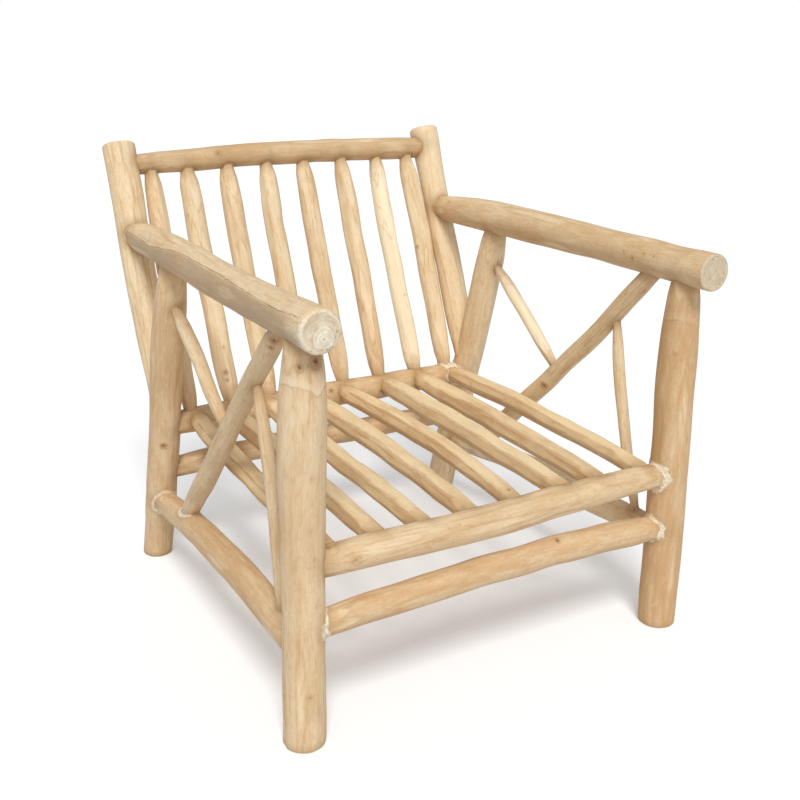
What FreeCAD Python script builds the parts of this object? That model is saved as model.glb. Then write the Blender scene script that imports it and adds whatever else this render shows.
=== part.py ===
import FreeCAD, Part
import os
from math import sqrt

import Sketcher
from FreeCAD import Placement, Rotation, Vector

# Rustic armchair of peeled branches, every branch a log of its own with whittled tenons in bored mortises.
# Frame: origin on the floor under the middle of the outline, +X to the right seen from the front,
# +Y to the rear, +Z up. Depths are counted from the line of the front legs.

# Driving sizes in millimetres
SIZES = {
    # Standing frame
    "leg_spacing": 690,
    "front_leg_top_spacing": 671,
    "front_leg_girth": 65,
    "rear_foot_spacing": 660,
    "rear_foot_depth": 687,
    "rear_leg_top_spacing": 658,
    "rear_leg_top_depth": 498,
    "rear_leg_girth": 57,
    "foot_round": 3,
    # Arms
    "arm_front_spacing": 673,
    "arm_overhang": 60,
    "arm_front_height": 637,
    "arm_rear_height": 626,
    "arm_girth": 60,
    "arm_round": 3,
    # Back
    "post_top_spacing": 649,
    "post_top_depth": 774,
    "post_top_height": 778,
    "post_foot_height": 335,
    "post_girth": 58,
    "post_round": 5,
    "crest_height": 742,
    "crest_girth": 43,
    "spindle_girth": 36,
    # Rails and stretchers
    "front_rail_height": 284,
    "front_rail_girth": 50,
    "rear_rail_height": 294,
    "rear_rail_girth": 49,
    "front_stretcher_height": 186,
    "front_stretcher_girth": 46,
    "rear_stretcher_height": 195,
    "rear_stretcher_girth": 43,
    "left_stretcher_front_height": 148,
    "left_stretcher_rear_height": 130,
    "right_stretcher_front_height": 170,
    "right_stretcher_rear_height": 128,
    "side_stretcher_girth": 46,
    # Seat
    "slat_girth": 42,
    "slat_front_lift": 9,
    "slat_rear_lift": 6,
    # Braces
    "main_brace_top_depth": 48,
    "left_main_brace_foot_depth": 506,
    "right_main_brace_foot_depth": 545,
    "main_brace_girth": 34,
    "left_rear_brace_foot_depth": 277,
    "left_rear_brace_top_height": 551,
    "right_rear_brace_foot_depth": 302,
    "right_rear_brace_top_height": 554,
    "left_front_brace_top_depth": 154,
    "left_front_brace_foot_depth": 73,
    "right_front_brace_top_depth": 156,
    "right_front_brace_foot_depth": 66,
    "small_brace_girth": 21,
    # Tenon diameters and depths
    "leg_tenon": 28,
    "leg_tenon_depth": 22,
    "arm_tenon": 26,
    "arm_tenon_depth": 20,
    "post_tenon": 24,
    "post_tenon_depth": 24,
    "rail_tenon": 26,
    "stretcher_tenon": 22,
    "rail_tenon_depth": 16,
    "crest_tenon": 22,
    "crest_tenon_depth": 18,
    "spindle_tenon": 22,
    "spindle_tenon_depth": 12,
    "slat_tenon": 16,
    "slat_tenon_depth": 12,
    "main_brace_tenon": 16,
    "main_brace_tenon_depth": 14,
    "small_brace_tenon": 11,
    "small_brace_tenon_depth": 9,
    # Sawing and fits
    "saw_trim": 20,
    "tenon_root": 14,
    "fit_clearance": 0.2,
    "seat_gap": 0.5,
    "mortise_floor_gap": 1,
    "overrun": 8,
}

# Log shapes: place along the log, girth, drift to its side and drift in its rise direction.
# A drift is a share of the girth. Legs, posts and spindles rise to the rear, all others rise upwards.
LEFT_FRONT_LEG_SHARES = (
    (0.0, 1.0, 0.0, 0.0), (0.16, 0.97, 0.01, 0.0), (0.40, 0.95, 0.0, 0.02), (0.62, 1.0, -0.02, 0.0),
    (0.80, 1.03, -0.01, -0.01), (0.92, 0.86, 0.0, 0.0), (1.0, 0.70, 0.0, 0.0),
)
RIGHT_FRONT_LEG_SHARES = (
    (0.0, 1.0, 0.0, 0.0), (0.16, 1.0, 0.01, 0.0), (0.40, 1.0, -0.01, -0.02), (0.62, 0.97, -0.02, 0.0),
    (0.80, 0.95, -0.01, 0.02), (0.92, 0.80, 0.0, 0.0), (1.0, 0.66, 0.0, 0.0),
)
LEFT_REAR_LEG_SHARES = (
    (0.0, 0.98, 0.0, 0.0), (0.18, 0.99, 0.01, 0.0), (0.40, 1.0, 0.02, 0.01), (0.60, 1.0, 0.0, 0.02),
    (0.82, 1.0, -0.02, 0.0), (0.91, 0.90, 0.0, 0.0), (1.0, 0.74, 0.0, 0.0),
)
RIGHT_REAR_LEG_SHARES = (
    (0.0, 1.03, 0.0, 0.0), (0.18, 1.03, -0.01, 0.02), (0.40, 1.02, 0.0, 0.02), (0.60, 1.0, 0.01, 0.0),
    (0.80, 0.98, 0.0, -0.02), (0.91, 0.92, 0.0, 0.0), (1.0, 0.76, 0.0, 0.0),
)
LEFT_ARM_SHARES = (
    (0.0, 1.03, 0.0, 0.0), (0.14, 0.99, -0.01, -0.03), (0.34, 0.98, -0.04, -0.07), (0.56, 0.99, -0.03, -0.02),
    (0.78, 0.96, 0.0, 0.06), (0.92, 0.88, 0.0, 0.03), (1.0, 0.72, 0.0, 0.0),
)
RIGHT_ARM_SHARES = (
    (0.0, 1.0, 0.0, 0.03), (0.14, 0.97, 0.01, 0.04), (0.34, 0.97, 0.03, 0.08), (0.56, 1.02, 0.02, 0.10),
    (0.76, 1.03, 0.0, 0.09), (0.91, 0.91, 0.0, 0.04), (1.0, 0.70, 0.0, 0.0),
)
LEFT_POST_SHARES = (
    (0.0, 0.90, 0.0, 0.0), (0.15, 0.95, 0.0, 0.0), (0.40, 0.97, -0.03, 0.02), (0.65, 0.99, -0.02, 0.0),
    (0.85, 1.0, 0.0, -0.01), (1.0, 1.03, 0.0, 0.0),
)
RIGHT_POST_SHARES = (
    (0.0, 0.88, -0.08, 0.0), (0.15, 0.90, -0.11, 0.0), (0.40, 0.92, -0.09, 0.0), (0.65, 0.93, -0.05, 0.02),
    (0.85, 0.97, -0.02, 0.01), (1.0, 0.98, 0.0, 0.0),
)
CREST_SHARES = (
    (0.0, 0.84, 0.0, 0.0), (0.10, 0.92, 0.0, 0.03), (0.28, 0.98, 0.03, 0.09), (0.50, 1.03, 0.02, 0.14),
    (0.72, 1.02, -0.02, 0.09), (0.90, 1.0, 0.0, 0.02), (1.0, 0.88, 0.0, 0.0),
)
FRONT_RAIL_SHARES = (
    (0.0, 0.88, 0.0, 0.0), (0.10, 0.94, -0.01, 0.01), (0.28, 1.0, -0.03, -0.02), (0.50, 1.03, -0.02, -0.06),
    (0.72, 0.97, 0.01, 0.01), (0.90, 0.87, 0.0, 0.02), (1.0, 0.82, 0.0, 0.0),
)
REAR_RAIL_SHARES = (
    (0.0, 0.88, 0.0, 0.0), (0.09, 0.94, 0.0, 0.0), (0.30, 1.0, 0.02, 0.02), (0.55, 1.0, 0.0, 0.02),
    (0.80, 0.98, -0.02, 0.01), (0.92, 0.93, 0.0, 0.0), (1.0, 0.88, 0.0, 0.0),
)
FRONT_STRETCHER_SHARES = (
    (0.0, 0.86, 0.0, 0.0), (0.09, 0.94, 0.0, 0.06), (0.26, 1.0, 0.02, 0.14), (0.46, 1.02, 0.03, 0.20),
    (0.66, 1.04, 0.0, 0.24), (0.85, 1.02, 0.0, 0.13), (1.0, 0.90, 0.0, 0.02),
)
REAR_STRETCHER_SHARES = (
    (0.0, 0.90, 0.0, 0.0), (0.10, 0.97, 0.0, 0.04), (0.26, 1.0, 0.03, 0.11), (0.50, 1.02, 0.02, 0.09),
    (0.75, 1.0, -0.02, 0.03), (0.90, 0.96, 0.0, 0.0), (1.0, 0.90, 0.0, 0.0),
)
LEFT_SIDE_STRETCHER_SHARES = (
    (0.0, 1.0, 0.0, 0.0), (0.13, 1.07, 0.0, 0.22), (0.30, 1.10, 0.02, 0.42), (0.46, 1.10, 0.03, 0.48),
    (0.66, 1.07, 0.0, 0.36), (0.86, 1.02, 0.0, 0.14), (1.0, 0.94, 0.0, 0.0),
)
RIGHT_SIDE_STRETCHER_SHARES = (
    (0.0, 0.84, 0.0, 0.0), (0.10, 0.96, 0.0, 0.02), (0.32, 1.0, -0.02, 0.06), (0.60, 0.95, -0.02, 0.26),
    (0.85, 0.89, 0.0, 0.11), (1.0, 0.82, 0.0, 0.0),
)
LEFT_MAIN_BRACE_SHARES = (
    (0.0, 0.84, 0.0, 0.0), (0.15, 0.92, 0.0, 0.05), (0.35, 0.95, 0.03, 0.05), (0.58, 1.01, 0.04, -0.06),
    (0.84, 1.03, 0.0, -0.04), (1.0, 0.82, 0.0, 0.0),
)
RIGHT_MAIN_BRACE_SHARES = (
    (0.0, 0.88, 0.0, 0.0), (0.14, 0.95, 0.0, -0.12), (0.34, 0.97, -0.02, -0.22), (0.56, 1.0, -0.02, -0.17),
    (0.80, 1.06, 0.0, -0.06), (1.0, 1.02, 0.0, 0.0),
)

# Slender logs share a taper: place along the log and girth
SPINDLE_TAPER_SHARES = ((0.0, 0.78), (0.07, 0.90), (0.25, 0.98), (0.55, 1.0), (0.85, 0.97), (1.0, 0.84))
SLAT_TAPER_SHARES = ((0.0, 0.84), (0.12, 0.86), (0.40, 0.94), (0.70, 1.0), (0.92, 0.92), (1.0, 0.82))
SMALL_BRACE_TAPER_SHARES = ((0.0, 0.70), (0.12, 0.90), (0.45, 1.0), (0.80, 1.02), (1.0, 0.72))

# Small braces: girth, drift to the side and drift in the rise direction of their even bow
REAR_BRACE_SHARES = {"left": (1.1, 0.0, 0.24), "right": (1.1, 0.0, 0.10)}
FRONT_BRACE_SHARES = {"left": (0.96, 0.0, -0.5), "right": (0.96, 0.0, 0.35)}

# Spindles: foot and top place across the chair, girth, drift to the side, drift to the rear
SPINDLE_SHARES = (
    (-0.836, -0.843, 1.0, 0.0, 0.02),
    (-0.585, -0.632, 1.10, -0.06, 0.0),
    (-0.350, -0.386, 1.08, -0.09, 0.03),
    (-0.118, -0.138, 1.05, -0.10, -0.02),
    (0.131, 0.102, 1.04, -0.05, 0.0),
    (0.375, 0.357, 1.03, 0.05, 0.02),
    (0.636, 0.605, 1.02, -0.06, 0.0),
    (0.856, 0.828, 1.05, 0.0, -0.16),
)
# Slats: front and rear place across the chair, girth, drift to the left, drift upwards
SLAT_SHARES = (
    (-0.870, -0.821, 0.90, 0.12, 0.0),
    (-0.633, -0.621, 0.96, 0.0, 0.05),
    (-0.399, -0.382, 0.94, -0.10, 0.0),
    (-0.148, -0.130, 0.96, -0.20, 0.04),
    (0.099, 0.094, 0.91, -0.48, 0.0),
    (0.368, 0.394, 1.02, -0.04, 0.05),
    (0.577, 0.630, 1.02, -0.10, 0.0),
    (0.852, 0.870, 0.90, -0.12, 0.12),
)
# How far a loft's end is held back from the middle of the log that it is coped to, in shares of its radius
END_HOLD_SHARE = 0.5
# The smallest part of its loft that a finished log may keep, and how closely a place on a loft is sought
KEPT_VOLUME_SHARE = 0.8
SEARCH_SHARE = 0.0000001

UP = Vector(0, 0, 1)
REAR = Vector(0, 1, 0)

doc = FreeCAD.newDocument("rustic_armchair")


def fill_sheet(name, values):
    """A sheet with one named cell for each value."""
    sheet = doc.addObject("Spreadsheet::Sheet", name)
    for row, (alias, value) in enumerate(values.items(), start=1):
        sheet.set(f"A{row}", alias)
        sheet.set(f"B{row}", str(value))
        sheet.setAlias(f"B{row}", alias)
    return sheet


sizes = fill_sheet("sizes", SIZES)
spans = fill_sheet("spans", {})
doc.recompute()


def size(alias):
    return float(sizes.get(alias))


class Log:
    """One branch: a loft through round sections, trimmed, tenoned and bored where it meets its neighbours."""

    def __init__(self, name, start, end, girth, shares, rise):
        self.name = name
        self.start = start
        self.end = end
        self.girth = girth
        self.shares = shares
        self.along = (end - start).normalize()
        self.rise = (rise - self.along * rise.dot(self.along)).normalize()
        self.side = self.rise.cross(self.along)
        self.hold_start = 0.0
        self.hold_end = 0.0
        self.saws = []
        self.copes = []
        self.tenons = []
        self.mortises = []
        self.body = None
        self.loft = None
        self.skin = None

    def span(self):
        return (self.end - self.start).Length - self.hold_start - self.hold_end

    def end_radius(self, at_end):
        return size(self.girth) * self.shares[-1 if at_end else 0][1] / 2

    def grow(self):
        """The log's body in its place, with its sections and its loft."""
        grown.append(self)
        sheet_row = len(grown)
        spans.set(f"A{sheet_row}", self.name)
        spans.set(f"B{sheet_row}", str(self.span()))
        spans.setAlias(f"B{sheet_row}", self.name)
        self.body = doc.addObject("PartDesign::Body", self.name)
        self.body.Label = self.name
        origin = self.start + self.along * self.hold_start
        self.body.Placement = Placement(origin, Rotation(self.side, self.rise, self.along, "ZYX"))
        sections = [add_section(self, number, row) for number, row in enumerate(self.shares, start=1)]
        self.loft = self.body.newObject("PartDesign::AdditiveLoft", f"{self.name}_loft")
        self.loft.Profile = sections[0]
        self.loft.Sections = sections[1:]
        self.loft.Refine = False
        self.loft.recompute(True)
        self.skin = max(self.loft.Shape.Faces, key=lambda face: face.Area).Surface

    def ring(self, distance):
        """The middle and the radius of the log's round at a distance from its start point."""
        if self.loft is None:
            self.grow()
        seam, turn, low, high = self.skin.bounds()
        while high - low > SEARCH_SHARE:
            half = (low + high) / 2
            if self.skin.value(seam, half).z < distance - self.hold_start:
                low = half
            else:
                high = half
        near = self.skin.value(seam, low)
        far = self.skin.value((seam + turn) / 2, low)
        return self.body.Placement.multVec((near + far) / 2), (far - near).Length / 2

    def heading(self, distance):
        """The log's own direction at a distance from its start point."""
        ahead, _ = self.ring(distance + size("overrun"))
        behind, _ = self.ring(distance - size("overrun"))
        return (ahead - behind).normalize()

    def at(self, axis, value):
        """The middle of the log where one coordinate of its straight line has the given value."""
        run = (self.end - self.start)[axis]
        middle, _ = self.ring((value - self.start[axis]) / run * (self.end - self.start).Length)
        return middle


def add_section(log, number, row):
    """One round section of a log, on its own level of the body's ground plane."""
    place, girth_share, side_share, rise_share = row
    ground = next(plane for plane in log.body.Origin.OriginFeatures if plane.Role == "XY_Plane")
    sketch = log.body.newObject("Sketcher::SketchObject", f"{log.name}_section_{number}")
    sketch.AttachmentSupport = [(ground, "")]
    sketch.MapMode = "FlatFace"
    sketch.setExpression("AttachmentOffset.Base.x", f"sizes.{log.girth} * {side_share:.6f}")
    sketch.setExpression("AttachmentOffset.Base.y", f"sizes.{log.girth} * {rise_share:.6f}")
    sketch.setExpression("AttachmentOffset.Base.z", f"spans.{log.name} * {place:.6f}")
    sketch.addGeometry(Part.Circle(Vector(0, 0, 0), UP, size(log.girth) * girth_share / 2))
    sketch.addConstraint(Sketcher.Constraint("Coincident", 0, 3, -1, 1))
    sketch.addConstraint(Sketcher.Constraint("Diameter", 0, size(log.girth) * girth_share))
    sketch.renameConstraint(1, "girth")
    sketch.setExpression("Constraints.girth", f"sizes.{log.girth} * {girth_share:.6f}")
    return sketch


logs = []
grown = []


def add_log(name, start, end, girth, shares, rise):
    log = Log(name, start, end, girth, shares, rise)
    logs.append(log)
    return log


def spot(across, depth, height):
    """A point from its place across the chair, its depth behind the front legs and its height."""
    return Vector(across, depth - middle_depth, height)


def bowed(taper, girth_share, side_share, rise_share):
    """A slender log's shape: its taper, with an even bow."""
    rows = []
    for place, girth in taper:
        bow = 4 * place * (1 - place)
        rows.append((place, girth * girth_share, side_share * bow, rise_share * bow))
    return tuple(rows)


def join(log, at_end, receiver, tenon, depth, coped=True, hold_share=0.0):
    """Seat one end of a log on another log: a tenon in a mortise, with the shoulder coped to the round."""
    point = log.end if at_end else log.start
    inward = -log.along if at_end else log.along
    distance = (point - receiver.start).dot(receiver.along)
    middle, grip = receiver.ring(distance)
    heading = receiver.heading(distance)
    sine = inward.cross(heading).Length
    slope = abs(inward.dot(heading)) / sine
    lift = abs((point - middle).dot(inward.cross(heading).normalize()))
    shoulder = size(tenon) / 2 if coped else log.end_radius(at_end)
    skin = sqrt(grip * grip - lift * lift) / sine
    clear = grip / sine + shoulder * slope + size("seat_gap")
    bottom = skin - size(depth)
    root = clear + size("tenon_root")
    log.tenons.append((point + inward * bottom, inward, root - bottom, f"sizes.{tenon} / 2"))
    mouth = clear + size("overrun")
    floor = bottom - size("mortise_floor_gap")
    bore = f"sizes.{tenon} / 2 + sizes.fit_clearance"
    receiver.mortises.append((point + inward * floor, inward, mouth - floor, bore))
    hold = hold_share * grip if coped else clear
    if at_end:
        log.hold_end = hold
    else:
        log.hold_start = hold
    if coped:
        reach = size(log.girth) * (1 + slope) + size("overrun")
        round_share = 2 * grip / size(receiver.girth)
        cope = f"sizes.{receiver.girth} * {round_share:.6f} / 2 + sizes.seat_gap"
        log.copes.append((middle - heading * reach, heading, 2 * reach, cope))


def saw_off(log, at_end, outward, edge):
    """Leave one end of a log over length, to be sawn off at a plane, with its edge broken."""
    distance = (log.end - log.start).Length if at_end else 0
    log.saws.append((distance, outward, edge))
    if at_end:
        log.hold_end = -size("saw_trim")
    else:
        log.hold_start = -size("saw_trim")


def upright(name, foot, top, girth, shares):
    """A leg: a log that stands on the floor."""
    log = add_log(name, foot, top, girth, shares, REAR)
    saw_off(log, False, -UP, "foot_round")
    return log


# Where the back posts lean to, and the middle of the outline
rear_leg_rake = (size("rear_foot_depth") - size("rear_leg_top_depth")) / size("arm_rear_height")
post_foot_depth = size("rear_foot_depth") - rear_leg_rake * size("post_foot_height")
post_run = size("post_top_depth") - post_foot_depth
post_rise = size("post_top_height") - size("post_foot_height")
post_length = sqrt(post_run * post_run + post_rise * post_rise)
post_top_reach = size("post_girth") / 2 * post_rise / post_length
post_round_loss = size("post_round") * post_run / post_length
rearmost_depth = size("post_top_depth") + post_top_reach - post_round_loss
middle_depth = (rearmost_depth - size("arm_overhang")) / 2

SIDES = (("left", -1), ("right", 1))
legs_front = {}
legs_rear = {}
arms = {}
posts = {}
side_stretchers = {}

# Legs, posts and arms of both sides
for side, sign in SIDES:
    foot = spot(sign * size("leg_spacing") / 2, 0, 0)
    top = spot(sign * size("front_leg_top_spacing") / 2, 0, size("arm_front_height"))
    shares = LEFT_FRONT_LEG_SHARES if side == "left" else RIGHT_FRONT_LEG_SHARES
    legs_front[side] = upright(f"front_{side}_leg", foot, top, "front_leg_girth", shares)

    foot = spot(sign * size("rear_foot_spacing") / 2, size("rear_foot_depth"), 0)
    top = spot(sign * size("rear_leg_top_spacing") / 2, size("rear_leg_top_depth"), size("arm_rear_height"))
    shares = LEFT_REAR_LEG_SHARES if side == "left" else RIGHT_REAR_LEG_SHARES
    legs_rear[side] = upright(f"rear_{side}_leg", foot, top, "rear_leg_girth", shares)

    foot = legs_rear[side].at(2, size("post_foot_height"))
    top = spot(sign * size("post_top_spacing") / 2, size("post_top_depth"), size("post_top_height"))
    shares = LEFT_POST_SHARES if side == "left" else RIGHT_POST_SHARES
    posts[side] = add_log(f"{side}_back_post", foot, top, "post_girth", shares, REAR)
    saw_off(posts[side], True, posts[side].along, "post_round")

    front = spot(sign * size("arm_front_spacing") / 2, -size("arm_overhang"), size("arm_front_height"))
    rear = posts[side].at(2, size("arm_rear_height"))
    shares = LEFT_ARM_SHARES if side == "left" else RIGHT_ARM_SHARES
    arms[side] = add_log(f"{side}_arm", front, rear, "arm_girth", shares, UP)
    saw_off(arms[side], False, -arms[side].along, "arm_round")

    join(legs_front[side], True, arms[side], "leg_tenon", "leg_tenon_depth")
    join(legs_rear[side], True, arms[side], "leg_tenon", "leg_tenon_depth")
    join(arms[side], True, posts[side], "arm_tenon", "arm_tenon_depth")
    join(posts[side], False, legs_rear[side], "post_tenon", "post_tenon_depth")


def crosspiece(name, uprights, height, girth, shares, tenon, depth):
    """A log from the left to the right upright at one height."""
    start = uprights["left"].at(2, size(height))
    end = uprights["right"].at(2, size(height))
    log = add_log(name, start, end, girth, shares, UP)
    join(log, False, uprights["left"], tenon, depth)
    join(log, True, uprights["right"], tenon, depth)
    return log


# Rails and stretchers across the chair
crest = crosspiece(
    "crest_rail", posts, "crest_height", "crest_girth", CREST_SHARES, "crest_tenon", "crest_tenon_depth"
)
front_rail = crosspiece(
    "front_seat_rail", legs_front, "front_rail_height", "front_rail_girth", FRONT_RAIL_SHARES,
    "rail_tenon", "rail_tenon_depth"
)
rear_rail = crosspiece(
    "rear_seat_rail", legs_rear, "rear_rail_height", "rear_rail_girth", REAR_RAIL_SHARES,
    "rail_tenon", "rail_tenon_depth"
)
crosspiece(
    "front_stretcher", legs_front, "front_stretcher_height", "front_stretcher_girth", FRONT_STRETCHER_SHARES,
    "stretcher_tenon", "rail_tenon_depth"
)
crosspiece(
    "rear_stretcher", legs_rear, "rear_stretcher_height", "rear_stretcher_girth", REAR_STRETCHER_SHARES,
    "stretcher_tenon", "rail_tenon_depth"
)

# Side stretchers and the braces under each arm
for side, sign in SIDES:
    start = legs_front[side].at(2, size(f"{side}_stretcher_front_height"))
    end = legs_rear[side].at(2, size(f"{side}_stretcher_rear_height"))
    shares = LEFT_SIDE_STRETCHER_SHARES if side == "left" else RIGHT_SIDE_STRETCHER_SHARES
    stretcher = add_log(f"{side}_side_stretcher", start, end, "side_stretcher_girth", shares, UP)
    join(stretcher, False, legs_front[side], "stretcher_tenon", "rail_tenon_depth")
    join(stretcher, True, legs_rear[side], "stretcher_tenon", "rail_tenon_depth")

    start = arms[side].at(1, size("main_brace_top_depth") - middle_depth)
    end = stretcher.at(1, size(f"{side}_main_brace_foot_depth") - middle_depth)
    shares = LEFT_MAIN_BRACE_SHARES if side == "left" else RIGHT_MAIN_BRACE_SHARES
    main_brace = add_log(f"{side}_main_brace", start, end, "main_brace_girth", shares, UP)
    join(main_brace, False, arms[side], "main_brace_tenon", "main_brace_tenon_depth")
    join(main_brace, True, stretcher, "main_brace_tenon", "main_brace_tenon_depth")

    start = main_brace.at(1, size(f"{side}_rear_brace_foot_depth") - middle_depth)
    end = legs_rear[side].at(2, size(f"{side}_rear_brace_top_height"))
    shares = bowed(SMALL_BRACE_TAPER_SHARES, *REAR_BRACE_SHARES[side])
    brace = add_log(f"{side}_rear_brace", start, end, "small_brace_girth", shares, UP)
    join(brace, False, main_brace, "small_brace_tenon", "small_brace_tenon_depth", coped=False)
    join(brace, True, legs_rear[side], "small_brace_tenon", "small_brace_tenon_depth", coped=False)

    start = stretcher.at(1, size(f"{side}_front_brace_foot_depth") - middle_depth)
    end = main_brace.at(1, size(f"{side}_front_brace_top_depth") - middle_depth)
    shares = bowed(SMALL_BRACE_TAPER_SHARES, *FRONT_BRACE_SHARES[side])
    brace = add_log(f"{side}_front_brace", start, end, "small_brace_girth", shares, REAR)
    join(brace, False, stretcher, "small_brace_tenon", "small_brace_tenon_depth", coped=False)
    join(brace, True, main_brace, "small_brace_tenon", "small_brace_tenon_depth", coped=False)

# Back spindles from the rear seat rail up to the crest rail
foot_reach = rear_rail.end.x
top_reach = crest.end.x
for number, (foot_share, top_share, girth_share, side_share, rear_share) in enumerate(SPINDLE_SHARES, start=1):
    shares = bowed(SPINDLE_TAPER_SHARES, girth_share, side_share, rear_share)
    start = rear_rail.at(0, foot_share * foot_reach)
    end = crest.at(0, top_share * top_reach)
    spindle = add_log(f"back_spindle_{number}", start, end, "spindle_girth", shares, REAR)
    join(spindle, False, rear_rail, "spindle_tenon", "spindle_tenon_depth", hold_share=END_HOLD_SHARE)
    join(spindle, True, crest, "spindle_tenon", "spindle_tenon_depth", hold_share=END_HOLD_SHARE)

# Seat slats from the front to the rear seat rail
front_reach = front_rail.end.x
for number, (front_share, rear_share, girth_share, side_share, rise_share) in enumerate(SLAT_SHARES, start=1):
    shares = bowed(SLAT_TAPER_SHARES, girth_share, side_share, rise_share)
    start = front_rail.at(0, front_share * front_reach) + UP * size("slat_front_lift")
    end = rear_rail.at(0, rear_share * foot_reach) + UP * size("slat_rear_lift")
    slat = add_log(f"seat_slat_{number}", start, end, "slat_girth", shares, UP)
    join(slat, False, front_rail, "slat_tenon", "slat_tenon_depth", hold_share=END_HOLD_SHARE)
    join(slat, True, rear_rail, "slat_tenon", "slat_tenon_depth", hold_share=END_HOLD_SHARE)


def add_rods(log, kind, name, rods):
    """Round tools of one kind, each from its foot along its direction."""
    for number, (foot, direction, length, radius) in enumerate(rods, start=1):
        rod = log.body.newObject(kind, f"{log.name}_{name}_{number}")
        rod.setExpression("Radius", radius)
        rod.Height = length
        rod.Placement = log.body.Placement.inverse() * Placement(foot, Rotation(UP, direction))
        rod.Refine = False


def saw_ends(log):
    """Saw each free end at its plane and break the new edge, both in one turned cut."""
    for number, (distance, outward, edge) in enumerate(log.saws, start=1):
        middle, radius = log.ring(distance)
        profile = add_saw_profile(log, f"{log.name}_saw_profile_{number}", radius, edge)
        turn = Rotation(log.rise, outward, log.rise.cross(outward), "YXZ")
        profile.AttachmentOffset = log.body.Placement.inverse() * Placement(middle, turn)
        cut = log.body.newObject("PartDesign::Groove", f"{log.name}_saw_cut_{number}")
        cut.Profile = profile
        cut.ReferenceAxis = (profile, ["V_Axis"])
        cut.Refine = False


def add_saw_profile(log, name, radius, edge):
    """What is turned away at a sawn end: all beyond the plane, and the edge's corner at 45 degrees."""
    rim = radius - size(edge)
    drop = size(edge) + size("overrun")
    waste = size("saw_trim") + size("overrun")
    corners = [
        Vector(0, 0, 0), Vector(rim, 0, 0), Vector(rim + drop, -drop, 0), Vector(rim + drop, waste, 0),
        Vector(0, waste, 0),
    ]
    ground = next(plane for plane in log.body.Origin.OriginFeatures if plane.Role == "XY_Plane")
    sketch = log.body.newObject("Sketcher::SketchObject", name)
    sketch.AttachmentSupport = [(ground, "")]
    sketch.MapMode = "FlatFace"
    count = len(corners)
    for number, corner in enumerate(corners):
        sketch.addGeometry(Part.LineSegment(corner, corners[(number + 1) % count]))
    for number in range(count):
        sketch.addConstraint(Sketcher.Constraint("Coincident", number, 2, (number + 1) % count, 1))
    face, bevel, outside, back, axis = range(count)
    sketch.addConstraint([
        Sketcher.Constraint("Coincident", face, 1, -1, 1),
        Sketcher.Constraint("Horizontal", face),
        Sketcher.Constraint("Vertical", outside),
        Sketcher.Constraint("Horizontal", back),
        Sketcher.Constraint("Vertical", axis),
    ])
    radius_share = 2 * radius / size(log.girth)
    for label, kind, line, value, rule in (
        ("rim", "DistanceX", face, rim, f"sizes.{log.girth} * {radius_share:.6f} / 2 - sizes.{edge}"),
        ("across", "DistanceX", bevel, drop, f"sizes.{edge} + sizes.overrun"),
        ("down", "DistanceY", bevel, -drop, f"-sizes.{edge} - sizes.overrun"),
        ("waste", "DistanceY", axis, -waste, "-sizes.saw_trim - sizes.overrun"),
    ):
        number = sketch.addConstraint(Sketcher.Constraint(kind, line, 1, line, 2, value))
        sketch.renameConstraint(number, label)
        sketch.setExpression(f"Constraints.{label}", rule)
    return sketch


for log in logs:
    if log.loft is None:
        log.grow()
    saw_ends(log)
    add_rods(log, "PartDesign::SubtractiveCylinder", "cope", log.copes)
    add_rods(log, "PartDesign::AdditiveCylinder", "tenon", log.tenons)
    add_rods(log, "PartDesign::SubtractiveCylinder", "mortise", log.mortises)
doc.recompute()

# Nothing is written unless every object and every log came out sound
for item in doc.Objects:
    if "Invalid" in item.State or "Error" in item.State:
        raise RuntimeError(f"{item.Label} failed: {item.State}")
for log in logs:
    shape = log.body.Shape
    if shape.isNull() or not shape.isValid() or len(shape.Solids) != 1:
        raise RuntimeError(f"{log.name} is not one sound solid")
    if shape.Volume < KEPT_VOLUME_SHARE * log.loft.Shape.Volume:
        raise RuntimeError(f"{log.name} lost more than its joints")
    for distance, outward, _ in log.saws:
        middle, _ = log.ring(distance)
        if shape.isInside(middle + outward * size("seat_gap"), size("fit_clearance"), True):
            raise RuntimeError(f"{log.name} was not sawn off")

os.makedirs("parts", exist_ok=True)
for log in logs:
    log.body.Shape.exportStep(f"parts/{log.body.Label}.step")
print(f"{len(logs)} logs written")
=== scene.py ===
import zlib
from math import cos, pi, radians, sin

import bpy
import numpy as np
from mathutils import Matrix, Vector
from mathutils.bvhtree import BVHTree


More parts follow.
